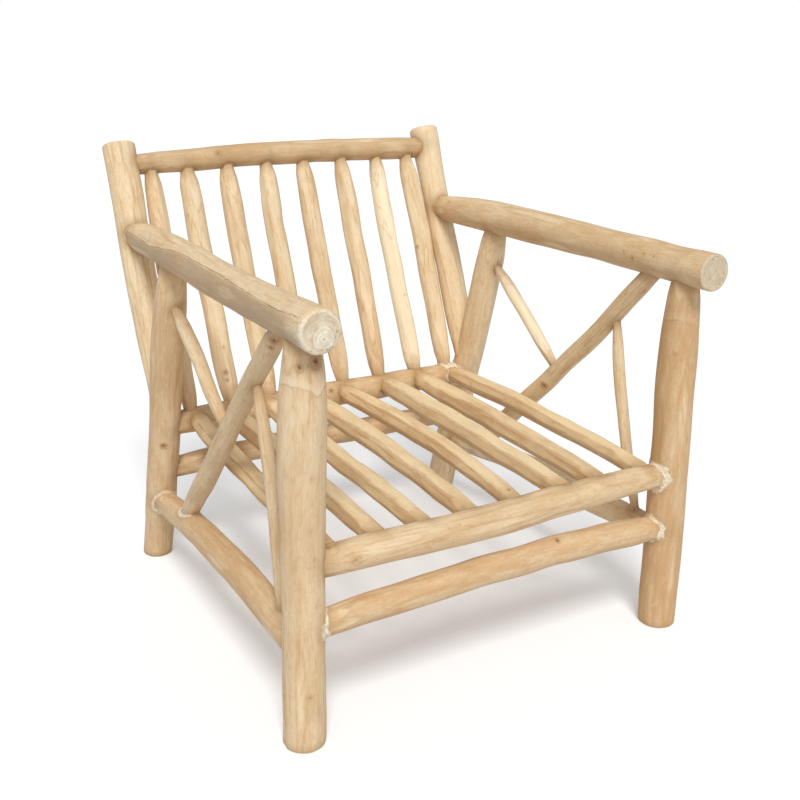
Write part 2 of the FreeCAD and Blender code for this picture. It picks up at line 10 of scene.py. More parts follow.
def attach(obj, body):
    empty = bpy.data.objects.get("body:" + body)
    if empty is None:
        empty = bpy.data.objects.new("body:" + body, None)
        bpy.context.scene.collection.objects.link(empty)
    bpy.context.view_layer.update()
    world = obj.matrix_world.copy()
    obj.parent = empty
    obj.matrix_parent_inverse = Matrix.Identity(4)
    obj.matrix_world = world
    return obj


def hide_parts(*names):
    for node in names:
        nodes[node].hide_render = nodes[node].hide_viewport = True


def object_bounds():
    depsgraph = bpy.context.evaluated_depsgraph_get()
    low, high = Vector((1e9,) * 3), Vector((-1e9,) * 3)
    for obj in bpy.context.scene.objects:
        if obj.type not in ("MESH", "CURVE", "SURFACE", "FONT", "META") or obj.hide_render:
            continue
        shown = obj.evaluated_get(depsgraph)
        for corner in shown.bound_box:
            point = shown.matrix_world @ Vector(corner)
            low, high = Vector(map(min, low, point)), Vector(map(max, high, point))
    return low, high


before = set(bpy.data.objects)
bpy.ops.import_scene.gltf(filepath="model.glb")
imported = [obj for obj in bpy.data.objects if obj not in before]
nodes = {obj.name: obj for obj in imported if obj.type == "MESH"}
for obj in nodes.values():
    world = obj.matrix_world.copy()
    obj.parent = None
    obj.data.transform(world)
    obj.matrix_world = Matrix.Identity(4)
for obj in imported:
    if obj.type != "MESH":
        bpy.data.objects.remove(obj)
cad_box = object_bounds()

# Camera, as the photograph was taken
IMAGE_SIZE = 800
FOCAL_PIXELS = 1109.454
SENSOR_WIDTH = 36.0
CAMERA_YAW, CAMERA_PITCH, CAMERA_ROLL = radians(30.9064), radians(19.5544), radians(0.6216)
CAMERA_PLACE = Vector((-0.9323, -1.6135, 1.0192))

# Survey of the CAD logs. Lengths are in metres.
NEARLY_ALONG = 0.8        # an axis this close to a world axis counts as running along it
SURVEY_RAYS = 40
SURVEY_REACH = 0.09       # the rays start outside even the thickest log
SURVEY_TOLERANCE = 0.0015
ROUND_SHARE = 0.35        # share of the rays that have to agree on a round
LEAST_HITS = 12
ROUND_TRIES = 25
LARGEST_RADIUS = 0.05
SLOPE_STATIONS = 6        # the ends carry on at the slope of this many stations
END_SHRINK, END_GROW = 0.8, 1.02  # and keep their radius within these shares
PLACE_STEPS = 400         # how finely a log is searched for what a pixel shows
ANGLE_STEP = pi / 90
JOINED_DEPTH = 0.004      # a tip this deep inside another log is joined to it

# Meshing and shaping of the dressed logs
SIDES_ROUND = 64
STATION_STEP = 0.006
FINE_STEP = 0.0018        # near knots and filler
CAP_RINGS = 14
SLENDER = 0.024           # the radius of spindles, slats and braces is under this
END_FADE = 0.06           # how far from an end a log's bends and its fit to the floor fade
EDGE_ANGLES = (0, 22, 45, 67, 90)  # degrees round a rounded edge
FILLER_REACH = 0.06
FILLER_THICKNESS = 0.0016
KNOT_REACH = 3            # a knot shows out to this many of its own sizes
KNOT_SPACING = 0.3
FLAT_SPACING = 0.09
WHOLE_LENGTH = 0.2        # a flat with a half length above this runs along the whole log
FLAT_TURN = 1.3           # and a flat ends this far round the log, in radians
JOINT_REACH = 0.2         # past this the distance from a joint no longer matters
FAR = 9.0                 # farther than anything
MILLIMETRES = 1000


def camera_matrix():
    """Where the camera stands and how it is turned."""
    turn = Matrix.Rotation(-CAMERA_YAW, 4, "Z") @ Matrix.Rotation(pi / 2 - CAMERA_PITCH, 4, "X")
    return Matrix.Translation(CAMERA_PLACE) @ turn @ Matrix.Rotation(CAMERA_ROLL, 4, "Z")


def pixel_ray(across, down):
    """Direction from the camera through a pixel of the photograph."""
    half = IMAGE_SIZE / 2
    local = Vector((across - half, half - down, -FOCAL_PIXELS)).normalized()
    return np.array(camera_matrix().to_3x3() @ local)


def fit_circle(points):
    """Centre and radius of the circle through 2-D points."""
    left = np.column_stack([2 * points, np.ones(len(points))])
    found, *_ = np.linalg.lstsq(left, (points ** 2).sum(1), rcond=None)
    return found[:2], np.sqrt(max(found[2] + found[0] ** 2 + found[1] ** 2, 0.0))


class Log:
    """One peeled branch: its straight axis, and its centre and radius along it."""

    def __init__(self, name):
        self.name = name
        self.rng = np.random.default_rng(zlib.crc32(name.encode()))
        mesh = nodes[name].data
        corners = [v.co.copy() for v in mesh.vertices]
        self.tree = BVHTree.FromPolygons(corners, [tuple(p.vertices) for p in mesh.polygons])
        middles = np.array([p.center for p in mesh.polygons])
        areas = np.array([p.area for p in mesh.polygons])
        self.origin = np.average(middles, axis=0, weights=areas)
        spread = (middles - self.origin) * np.sqrt(areas)[:, None]
        axis = np.linalg.eigh(spread.T @ spread)[1][:, -1]

        # The angle round a log counts from the front, but from above where it runs front to back
        along = [index for index in (2, 0) if abs(axis[index]) > NEARLY_ALONG]
        axis *= np.sign(axis[along[0] if along else 1])
        facing = np.array([0.0, -1.0, 0.0] if along else [0.0, 0.0, 1.0])
        self.axis = axis
        self.u = facing - axis * (facing @ axis)
        self.u /= np.linalg.norm(self.u)
        self.v = np.cross(axis, self.u)
        places = (np.array(corners) - self.origin) @ axis
        self.low, self.high = places.min(), places.max()
        self.survey()
        self.partners = []
        self.marks = []
        self.pith = self.rng.uniform(-0.25, 0.25, 2)
        self.cracks = []
        self.shoulder = None
        self.free_low = True
        self.free_high = True

    def survey(self):
        """Walk from the middle to both ends and fit the round at each station."""
        count = int((self.high - self.low) / STATION_STEP)
        stations = self.low + (np.arange(count) + 0.5) * (self.high - self.low) / count
        centres = np.full((count, 2), np.nan)
        radii = np.full(count, np.nan)
        start = self.first_round(stations)
        for walk in (range(start, count), range(start, -1, -1)):
            centre, radius = self.first
            for index in walk:
                hits = self.cast(stations[index], centre)
                reach = np.linalg.norm(hits - centre, axis=1)
                good = hits[abs(reach - radius) < SURVEY_TOLERANCE]
                if len(good) < ROUND_SHARE * SURVEY_RAYS:
                    continue
                fitted, size = fit_circle(good)
                if abs(size - radius) > SURVEY_TOLERANCE:
                    continue
                centres[index], radii[index] = fitted, size
                centre, radius = fitted, size
        known = ~np.isnan(radii)
        self.stations = stations[known]
        self.centres = centres[known]
        self.radii = radii[known]

    def first_round(self, stations):
        """The most regular round near the middle of the log."""
        best = (-1, None, None, None)
        picks = np.random.default_rng(7)
        for index in range(len(stations) // 3, 2 * len(stations) // 3, 3):
            hits = self.cast(stations[index], np.zeros(2))
            if len(hits) < LEAST_HITS:
                continue
            for _ in range(ROUND_TRIES):
                centre, radius = fit_circle(hits[picks.choice(len(hits), 4, replace=False)])
                close = abs(np.linalg.norm(hits - centre, axis=1) - radius) < SURVEY_TOLERANCE / 3
                if close.sum() > best[0] and radius < LARGEST_RADIUS:
                    best = (close.sum(), index, *fit_circle(hits[close]))
        self.first = best[2], best[3]
        return best[1]

    def cast(self, station, centre):
        """Where rays from outside meet the log's skin at a station, in the directions u and v."""
        middle = self.origin + self.axis * station + centre[0] * self.u + centre[1] * self.v
        hits = []
        for angle in np.arange(SURVEY_RAYS) * 2 * pi / SURVEY_RAYS:
            ray = cos(angle) * self.u + sin(angle) * self.v
            start = Vector(middle + SURVEY_REACH * ray)
            place, *_ = self.tree.ray_cast(start, Vector(-ray), SURVEY_REACH)
            if place is not None:
                offset = np.array(place) - self.origin
                hits.append((offset @ self.u, offset @ self.v))
        return np.array(hits).reshape(-1, 2)

    def profile(self, s):
        """Centre and radius at places along the axis, carried on past the last good round."""
        s = np.asarray(s, float)
        values = np.column_stack([self.centres, self.radii])
        out = np.column_stack([np.interp(s, self.stations, values[:, i]) for i in range(3)])
        back = min(SLOPE_STATIONS, len(self.stations) - 1)
        after, before = s > self.stations[-1], s < self.stations[0]
        for end, inner, beyond in ((-1, -1 - back, after), (0, back, before)):
            slope = (values[end] - values[inner]) / (self.stations[end] - self.stations[inner])
            out[beyond] = values[end] + slope * (s[beyond] - self.stations[end])[:, None]
            radius = values[end, 2]
            out[beyond, 2] = np.clip(out[beyond, 2], END_SHRINK * radius, END_GROW * radius)
        return out[:, :2], out[:, 2]

    def line(self, s):
        """Points on the log's axis, and the radius there."""
        centre, radius = self.profile(s)
        s = np.asarray(s, float)
        aside = centre[:, :1] * self.u + centre[:, 1:] * self.v
        return self.origin + s[:, None] * self.axis + aside, radius

    def clearance(self, points):
        """Distance of points from this log's skin, negative inside."""
        s = np.clip((points - self.origin) @ self.axis, self.low, self.high)
        middle, radius = self.line(s)
        return np.linalg.norm(points - middle, axis=1) - radius

    def place_of(self, across, down):
        """The place along the log and the angle round it that a pixel of the photograph shows."""
        ray = pixel_ray(across, down)
        camera = np.array(CAMERA_PLACE)
        s = np.linspace(self.low, self.high, PLACE_STEPS)
        angles = np.arange(0, 2 * pi, ANGLE_STEP)
        middle, radius = self.line(s)
        round_way = np.cos(angles)[:, None] * self.u + np.sin(angles)[:, None] * self.v
        points = middle[:, None, :] + radius[:, None, None] * round_way[None]
        offset = points - camera
        depth = offset @ ray
        miss = np.linalg.norm(offset - depth[..., None] * ray, axis=2)
        facing = (round_way @ ray)[None, :] < 0
        miss = np.where(facing, miss, FAR)
        best = np.unravel_index(np.argmin(miss), miss.shape)
        return s[best[0]], angles[best[1]]


logs = {name: Log(name) for name in sorted(nodes)}

# Which end of which log sits in which other log
for log in logs.values():
    for at_high in (False, True):
        tip_place = log.high if at_high else log.low
        tip, _ = log.line([tip_place])
        for other in logs.values():
            if other is log or other.clearance(tip)[0] > -JOINED_DEPTH:
                continue
            log.partners.append(other)
            other.partners.append(log)
            if at_high:
                log.free_high = False
            else:
                log.free_low = False

# Marks seen in the photograph: pixel, size in millimetres and darkness
MARKS = {
    "rear_left_leg": (((163, 446), 6.0, 1.0),),
    "front_left_leg": (
        # The knot at (315, 361), right under the arm, is drawn bigger and darker than the knot
        # itself: part of its dark is painted shade under the arm
        ((299, 368), 7.0, 0.85), ((315, 361), 11.0, 1.0), ((312, 479), 4.0, 0.25),
        ((310, 697), 5.0, 0.4),
    ),
    "right_arm": (
        ((624, 251), 2.5, 0.5), ((632, 258), 3.0, 0.5), ((644, 254), 2.5, 0.45),
        ((654, 256), 2.5, 0.5),
    ),
    "crest_rail": (((218, 153.6), 7.0, 0.6),),
    "right_main_brace": (((544, 385), 7.0, 0.9),),
    "rear_seat_rail": (((331, 391), 5.0, 0.9), ((346, 387), 4.0, 0.5), ((381, 391), 4.5, 0.8)),
    "back_spindle_8": (((417, 247), 3.5, 0.7),),
    "back_spindle_2": (((226, 372), 5.0, 0.8), ((227, 380), 3.5, 0.7)),
    "front_stretcher": (((557, 541), 4.5, 0.9),),
    "front_seat_rail": (((357, 560.5), 8.0, 0.35), ((328, 548), 3.5, 0.9)),
    "seat_slat_5": (((509, 488), 3.0, 1.0),),
    "left_main_brace": (((274, 341), 7.0, 0.9), ((270, 348), 5.0, 0.8)),
    "front_right_leg": (((675, 355), 5.0, 0.3),),
    "left_side_stretcher": (((191, 509), 5.0, 1.0),),
}
# Drying cracks: the pixels along each
CRACKS = {
    "left_arm": (
        ((126, 231), (150, 246), (180, 253), (205, 266), (238, 286), (262, 302), (280, 311),
         (297, 317)),
    ),
}
# Lines across a log where its whittled end begins
SHOULDERS = {
    "front_left_leg": (
        (280, 384.4), (287, 385.6), (293.3, 388.3), (304.4, 390.6), (312.2, 392.2),
        (316.7, 397.8), (320.6, 394.4), (323.5, 388),
    ),
    "front_right_leg": (
        (666, 320), (671.7, 320.8), (678.3, 319.7), (683.3, 322.5), (693.3, 324.2), (697, 320),
    ),
}
# Joints closed with pale filler: the two logs and how much of it there is
FILLED = {
    ("front_seat_rail", "front_right_leg"): 1.0,
    ("front_stretcher", "front_right_leg"): 0.8,
    ("rear_seat_rail", "rear_right_leg"): 1.0,
    ("front_stretcher", "front_left_leg"): 0.9,
    ("left_side_stretcher", "rear_left_leg"): 0.6,
    ("left_main_brace", "left_side_stretcher"): 0.5,
    ("rear_seat_rail", "seat_slat_8"): 0.6,
    ("right_front_brace", "right_side_stretcher"): 0.3,
    ("back_spindle_8", "rear_seat_rail"): 0.5,
}
# How tan (below zero: paler than cream) and how grey each log is
LOOKS = {
    "front_left_leg": (0.22, 0.14), "front_right_leg": (0.88, 0.10),
    "rear_left_leg": (0.36, 0.14), "rear_right_leg": (-0.12, 0.0),
    "left_arm": (0.0, 0.0), "right_arm": (0.36, 0.0),
    "left_back_post": (-0.03, 0.03), "right_back_post": (-0.20, 0.0),
    "crest_rail": (0.70, 0.20), "front_seat_rail": (0.20, 0.16), "rear_seat_rail": (0.62, 0.05),
    "front_stretcher": (0.72, 0.14), "rear_stretcher": (0.42, 0.15),
    "left_side_stretcher": (0.56, 0.12), "right_side_stretcher": (-0.10, 0.0),
    "left_main_brace": (0.05, 0.28), "right_main_brace": (-0.08, 0.0),
    "left_rear_brace": (0.12, 0.10), "right_rear_brace": (-0.5, 0.0),
    "left_front_brace": (0.12, 0.25), "right_front_brace": (-0.12, 0.0),
    "back_spindle_1": (-0.05, 0.0), "back_spindle_2": (0.08, 0.05),
    "back_spindle_3": (0.02, 0.0), "back_spindle_4": (0.12, 0.05),
    "back_spindle_5": (0.28, 0.0), "back_spindle_6": (0.28, 0.0),
    "back_spindle_7": (-0.6, 0.0), "back_spindle_8": (0.03, 0.0),
    "seat_slat_1": (0.85, 0.10), "seat_slat_2": (0.60, 0.05), "seat_slat_3": (0.45, 0.0),
    "seat_slat_4": (0.40, 0.0), "seat_slat_5": (0.55, 0.0), "seat_slat_6": (0.15, 0.0),
    "seat_slat_7": (0.50, 0.0), "seat_slat_8": (0.45, 0.0),
}


def around(angle):
    """The angle brought to between -pi and pi."""
    return (angle + pi) % (2 * pi) - pi


def ends_of(log):
    """Both ends of a log, each with whether it is free rather than in a joint."""
    return (log.low, log.free_low), (log.high, log.free_high)


def plan_marks(log):
    """A log's knots, cracks and shoulder as photographed, and a few knots more on other sides."""
    for pixel, size, dark in MARKS.get(log.name, ()):
        log.marks.append((*log.place_of(*pixel), size / MILLIMETRES, dark))
    length = log.high - log.low
    for _ in range(log.rng.integers(1, 2 + int(length / KNOT_SPACING))):
        place = log.low + length * log.rng.uniform(0.1, 0.9)
        turn = log.rng.uniform(0, 2 * pi)
        size, dark = log.rng.uniform(0.0015, 0.004), log.rng.uniform(0.15, 0.45)
        log.marks.append((place, turn, size, dark))
    for trail in CRACKS.get(log.name, ()):
        found = np.array([log.place_of(*pixel) for pixel in trail])
        log.cracks.append(found[np.argsort(found[:, 0])])
    if log.name in SHOULDERS:
        found = np.array([log.place_of(*pixel) for pixel in SHOULDERS[log.name]])
        found[:, 1] = around(found[:, 1])
        log.shoulder = found[np.argsort(found[:, 1])]


def plan_cuts(log):
    """The knife's flats on a log: angle, depth in shares of the radius, middle, half length."""
    length = log.high - log.low
    middle = (log.high + log.low) / 2
    rng = log.rng
    cuts = []
    if log.name.startswith("seat_slat"):
        cuts.append((rng.normal(-0.05, 0.08), rng.uniform(0.17, 0.21), middle, length))
        cuts.append((rng.uniform(-1.45, -1.2), rng.uniform(0.05, 0.08), middle, length))
        for _ in range(3):
            turn, depth = rng.normal(0, 0.35), rng.uniform(0.14, 0.19)
            cuts.append((turn, depth, log.low + length * rng.uniform(0, 1), 0.12))
    elif log.name.startswith("back_spindle"):
        for _ in range(9):
            place = log.low + length * rng.uniform(0, 1)
            turn, depth = rng.uniform(-1.3, 1.3), rng.uniform(0.06, 0.13)
            cuts.append((turn, depth, place, rng.uniform(0.05, 0.14)))
    else:
        for _ in range(int(3 + length / FLAT_SPACING)):
            place = log.low + length * rng.uniform(0, 1)
            turn, depth = rng.uniform(0, 2 * pi), rng.uniform(0.02, 0.045)
            cuts.append((turn, depth, place, rng.uniform(0.05, 0.12)))
    for end, free in ends_of(log):
        if free:
            continue
        count = rng.integers(6, 9)
        for number in range(count):
            turn = 2 * pi * (number + rng.uniform(-0.2, 0.2)) / count
            cuts.append((turn, rng.uniform(0.06, 0.13), end, rng.uniform(0.035, 0.075)))
    return cuts


def waves(rng, s, longest, shortest, count):
    """A smooth seeded wander along a log, about one high."""
    total = np.zeros_like(s)
    for _ in range(count):
        total += np.cos(2 * pi * s / rng.uniform(shortest, longest) + rng.uniform(0, 2 * pi))
    return total / np.sqrt(count / 2)


def joint_place(log, pair):
    """Where along the log a filled joint lies."""
    if log.name == pair[0]:
        at = (logs[pair[1]].origin - log.origin) @ log.axis
        return log.low if abs(at - log.low) < abs(at - log.high) else log.high
    other = logs[pair[0]]
    tips = other.line([other.low, other.high])[0]
    return (tips[np.argmin(log.clearance(tips))] - log.origin) @ log.axis


def plan_stations(log):
    """Places of the log's rings of points, and how far its rounded ends set each ring in."""
    edge_low, edge_high = end_round(log, log.free_low), end_round(log, log.free_high)
    low = log.low + heart_rise(log) * log.free_low
    high = log.high - heart_rise(log) * log.free_high
    rows = [np.arange(low + edge_low, high - edge_high, STATION_STEP)]
    for place, _, size, _ in log.marks:
        rows.append(np.arange(place - KNOT_REACH * size, place + KNOT_REACH * size, FINE_STEP))
    for pair in FILLED:
        if log.name in pair:
            at = joint_place(log, pair)
            rows.append(np.arange(at - FILLER_REACH, at + FILLER_REACH, FINE_STEP))
    inner = np.unique(np.round(np.concatenate(rows), 5))
    inner = inner[(inner >= low + edge_low) & (inner <= high - edge_high)]
    inner = inner[np.concatenate([[True], np.diff(inner) > FINE_STEP / 2])][1:-1]
    bend = np.radians(EDGE_ANGLES)
    rising, falling = edge_low * (1 - np.sin(bend[::-1])), edge_high * (1 - np.sin(bend))
    s = np.concatenate([low + rising, inner, high - falling])
    inset_low, inset_high = edge_low * (1 - np.cos(bend[::-1])), edge_high * (1 - np.cos(bend))
    return s, np.concatenate([inset_low, np.zeros(len(inner)), inset_high])


def bent_round(log, s):
    """Centre and radius at the rings, with the wander of a grown branch."""
    centre, radius = log.profile(s)
    slender = np.median(log.radii) < SLENDER
    bend_size, swell_size = (0.0005, 0.008) if slender else (0.0003, 0.004)
    away = np.clip(np.minimum(s - s[0], s[-1] - s) / END_FADE, 0, 1)
    for side in (0, 1):
        wander = waves(log.rng, s, longest=0.30, shortest=0.11, count=6)
        centre[:, side] += away * bend_size * wander
    radius = radius * (1 + swell_size * waves(log.rng, s, longest=0.22, shortest=0.07, count=8))
    if "spindle" in log.name:
        for rail, share in (("crest_rail", 0.20), ("rear_seat_rail", 0.10)):
            gap = np.clip(logs[rail].clearance(log.line(s)[0]), 0, None)
            radius = radius * (1 - share * np.exp(-(gap / 0.014) ** 2))
    return centre, radius


def filler_amount(log, bare, grid_s, grid_a):
    """How much pale filler lies on each point: ragged lumps close to the joints in FILLED."""
    filler = np.zeros_like(grid_s)
    for pair, amount in FILLED.items():
        if log.name not in pair:
            continue
        other = logs[pair[1] if log.name == pair[0] else pair[0]]
        gap = other.clearance(bare.reshape(-1, 3)).reshape(grid_s.shape)
        wander = np.cos(3 * grid_a + 90 * grid_s + 1.7) + np.cos(5 * grid_a - 170 * grid_s)
        wander = 0.5 + 0.25 * wander
        near = np.clip(1 - gap / (0.005 + 0.011 * amount * wander), 0, 1)
        near[gap < -JOINED_DEPTH] = 0
        patchy = np.cos(2 * grid_a + 40 * grid_s + 5 * amount) * np.cos(3 * grid_a - 75 * grid_s)
        patchy = 0.55 + 0.45 * patchy
        filler = np.maximum(filler, near * np.clip(patchy + 0.5 * amount, 0, 1))
    return filler


def stitch(count, first_hub):
    """Quads between the rings, triangles round the hubs, and which of them close an end.

    The rings come in three runs: along the log, and from each end's rim inwards.
    """
    base_low, base_high = count, count + CAP_RINGS
    strips = [(k, k + 1, False) for k in range(count - 1)]
    strips += [(base_low, 0, True)]
    strips += [(base_low + k + 1, base_low + k, True) for k in range(CAP_RINGS - 1)]
    strips += [(count - 1, base_high, True)]
    strips += [(base_high + k, base_high + k + 1, True) for k in range(CAP_RINGS - 1)]
    index = np.arange(SIDES_ROUND)
    after = np.roll(index, -1)
    quads = []
    for row, above, _ in strips:
        a, b = row * SIDES_ROUND, above * SIDES_ROUND
        quads.append(np.column_stack([a + index, a + after, b + after, b + index]))
    last_low = (base_high - 1) * SIDES_ROUND
    last_high = (base_high + CAP_RINGS - 1) * SIDES_ROUND
    fans = [(first_hub, last_low + int(j), last_low + int(i)) for i, j in zip(index, after)]
    fans += [(first_hub + 1, last_high + int(i), last_high + int(j)) for i, j in zip(index, after)]
    faces = [tuple(int(i) for i in quad) for quad in np.concatenate(quads)] + fans
    is_cap = [np.full(SIDES_ROUND, cap) for _, _, cap in strips] + [np.ones(len(fans), bool)]
    return faces, np.concatenate(is_cap)


def tube(log):
    """The log's dressed surface: points, faces and what its material needs at each point."""
    plan_marks(log)
    s, inset = plan_stations(log)
    angles = np.arange(SIDES_ROUND) * 2 * pi / SIDES_ROUND
    centre, radius = bent_round(log, s)
    grid_s, grid_a = np.meshgrid(s, angles, indexing="ij")
    reach = radius[:, None] + lumps(log, grid_s, grid_a)
    reach, planed = plane_off(log, reach, grid_s, grid_a)
    reach = reach + knot_relief(log, grid_s, grid_a)
    rim_size = 0.30 if "arm" in log.name else 0.08
    rough_rim = 1 + rim_size * np.cos(3 * angles + 1) * np.cos(5 * angles)[None]
    reach = reach - inset[:, None] * rough_rim
    ring = np.cos(angles)[:, None] * log.u + np.sin(angles)[:, None] * log.v
    middle = log.origin + s[:, None] * log.axis + centre[:, :1] * log.u + centre[:, 1:] * log.v
    bare = middle[:, None, :] + reach[..., None] * ring[None]
    filler = filler_amount(log, bare, grid_s, grid_a)
    crumble = np.cos(7 * grid_a + 400 * grid_s) * np.cos(4 * grid_a - 510 * grid_s + 1)
    crumble = 0.7 + 0.3 * crumble
    reach = reach + FILLER_THICKNESS * np.minimum(filler * 1.6, 1) * crumble
    points = middle[:, None, :] + reach[..., None] * ring[None]

    # A foot stands level on the floor
    is_foot = log.free_low and log.axis[2] > NEARLY_ALONG
    if is_foot:
        drop = -points[0, :, 2] / log.axis[2]
        weight = np.clip(1 - (s - s[0]) / END_FADE, 0, 1) ** 2
        points = points + (weight[:, None] * drop[None])[..., None] * log.axis

    # The ends are closed ring by ring down to the pith, with the saw's steps
    cap_shares = np.linspace(0.96, 0.06, CAP_RINGS)
    rows, places, reaches, cap_angles = [points], [grid_s], [reach], [grid_a]
    for end, outward, is_sawn in (
        (0, -log.axis, log.free_low and not is_foot), (-1, log.axis, log.free_high),
    ):
        pith = points[end].mean(0)
        caps = pith + (points[end] - pith)[None] * cap_shares[:, None, None]
        flat = reach[end][None] * cap_shares[:, None]
        if is_sawn:
            across = flat * np.cos(angles), flat * np.sin(angles)
            caps = caps + sawn_rise(log, *across, flat / reach[end])[..., None] * outward
        rows.append(caps)
        places.append(np.full(flat.shape, s[end]))
        reaches.append(flat)
        cap_angles.append(np.tile(angles, (CAP_RINGS, 1)))
    all_points = np.concatenate(rows).reshape(-1, 3)
    faces, is_cap = stitch(len(s), len(all_points))
    hub_low = all_points[-(CAP_RINGS + 1) * SIDES_ROUND:-CAP_RINGS * SIDES_ROUND].mean(0)
    hubs = np.array([hub_low, all_points[-SIDES_ROUND:].mean(0)])
    spare = np.zeros(len(all_points) + 2 - planed.size)
    return {
        "points": np.concatenate([all_points, hubs]), "faces": faces, "is_cap": is_cap,
        "s": np.concatenate([np.concatenate(places).ravel(), [s[0], s[-1]]]),
        "angle": np.concatenate([np.concatenate(cap_angles).ravel(), [0, 0]]),
        "reach": np.concatenate([np.concatenate(reaches).ravel(), [0, 0]]),
        "planed": np.concatenate([planed.ravel(), spare]),
        "filler": np.concatenate([filler.ravel(), spare]),
    }


def end_round(log, free):
    """How far the edge of an end is rounded off."""
    if log.name.startswith("seat_slat"):
        return 0.006
    if not free:
        return 0.002
    return 0.005 if log.name == "left_arm" or "post" in log.name else 0.003


# Swellings: how many, fewest and most lobes round the log, shortest and longest, and their height
# in shares of the radius
LUMPS = ((14, 1, 5, 0.06, 0.35, 0.0026), (10, 5, 12, 0.08, 0.4, 0.0014))


def lumps(log, grid_s, grid_a):
    """Low swellings that make the round uneven."""
    rng = log.rng
    size = np.median(log.radii)
    height = np.zeros_like(grid_s)
    for count, few, many, shortest, longest, share in LUMPS:
        for _ in range(count):
            lobes = rng.integers(few, many)
            turn = 2 * pi * grid_s / rng.uniform(shortest, longest) * rng.choice([-1, 1])
            height += size * share * np.cos(lobes * grid_a + turn + rng.uniform(0, 2 * pi))
    return height


def plane_off(log, reach, grid_s, grid_a):
    """Take the knife's flats off the round: the new reach, and how deep each point was cut."""
    cut = reach.copy()
    for turn, depth, place, half in plan_cuts(log):
        off = around(grid_a - turn)
        along = np.abs(grid_s - place) / half
        fade = np.clip(1 - along ** 2, -4, 1) if half < WHOLE_LENGTH else np.ones_like(along)
        wave = waves(log.rng, grid_s[:, 0], longest=0.2, shortest=0.06, count=4)[:, None]
        wander = 1 + (0.13 if "slat" in log.name else 0.22) * wave
        face = reach * (1 - depth * fade * wander)
        plane = np.where(np.abs(off) < FLAT_TURN, face / np.maximum(np.cos(off), 0.2), FAR)
        blur = (0.012 if "slat" in log.name else 0.03) * reach
        mix = np.clip(0.5 + 0.5 * (plane - cut) / blur, 0, 1)
        soft = blur * mix * (1 - mix) * (np.abs(plane - cut) < blur)
        cut = plane * (1 - mix) + cut * mix - soft
    return cut, np.clip((reach - cut) / reach, 0, 1)


def knot_relief(log, grid_s, grid_a):
    """Each knot swells the surface and sinks a little in its middle."""
    size = np.median(log.radii)
    height = np.zeros_like(grid_s)
    for place, angle, knot, _ in log.marks:
        turn = around(grid_a - angle)
        off = np.hypot(turn * size, grid_s - place) / knot
        height += knot * 0.16 * np.exp(-(off / 1.9) ** 2)
        height -= knot * 0.22 * np.exp(-(off / 0.6) ** 2)
    return height


def pith_place(log):
    """Where the growth rings' middle lies on a sawn face, in shares of the radius."""
    return np.array([-0.30, 0.10]) if log.name == "left_arm" else log.pith


def heart_rise(log):
    """How far the heart of the log's sawn end stands out from the rim."""
    return 0.0030 if log.name == "left_arm" else 0.0


def sawn_rise(log, across_u, across_v, share):
    """How far the sawn face stands out from its rim: a heart in steps, ripples and pits."""
    size = np.median(log.radii)
    heart = pith_place(log) * size
    off = np.hypot(across_u - heart[0], across_v - heart[1]) / size
    steps = 0.25 * np.clip((0.30 - off) / 0.05, 0, 1) + 0.50 * np.clip((0.57 - off) / 0.06, 0, 1)
    rise = heart_rise(log) * (steps + 0.25 * np.clip((0.85 - off) / 0.3, 0, 1))
    wander = np.cos(across_u * 520 + 1) * np.cos(across_v * 430)
    wander = wander + np.cos(across_u * 240 - across_v * 310)
    rise = rise - 0.00020 * (1 + np.cos(off * 34 + 0.8 * wander)) - 0.00022 * (2 + wander)
    return rise * np.clip((1 - share) / 0.08, 0, 1)


def knot_field(log, s, angle):
    """For each point the place beside the nearest knot, in units of its size, and its darkness.

    Also how far the grain is pushed aside round the knots.
    """
    size = np.median(log.radii)
    knot = np.zeros((len(s), 3))
    nearest = np.full(len(s), FAR)
    second = np.full(len(s), FAR)
    warp = np.zeros(len(s))
    for place, mark_angle, knot_size, dark in log.marks:
        beside = around(angle - mark_angle) * size / knot_size
        ahead = (s - place) / knot_size
        off = np.hypot(beside, ahead)
        closer = off < nearest
        second = np.where(closer, nearest, np.minimum(second, off))
        nearest = np.where(closer, off, nearest)
        stretch = np.where(off > KNOT_REACH, FAR / np.maximum(off, 1), 1)
        shade = np.where(off > KNOT_REACH, 0.0, dark)
        knot[closer] = np.column_stack([beside * stretch, ahead * stretch, shade])[closer]
        push = np.exp(-np.abs(beside) / 2.2) * np.exp(-(ahead / 2.6) ** 2)
        warp += np.sign(beside) * 0.9 * knot_size * push
    knot[:, 2] *= np.clip((second - nearest) / 0.8, 0, 1)
    return knot, warp


def from_ends(log, s, wanted_free):
    """Distance along the log from its nearest end that is free, or that is in a joint."""
    ends = [np.abs(s - end) for end, free in ends_of(log) if free == wanted_free]
    return np.minimum.reduce([np.full(len(s), FAR), *ends])


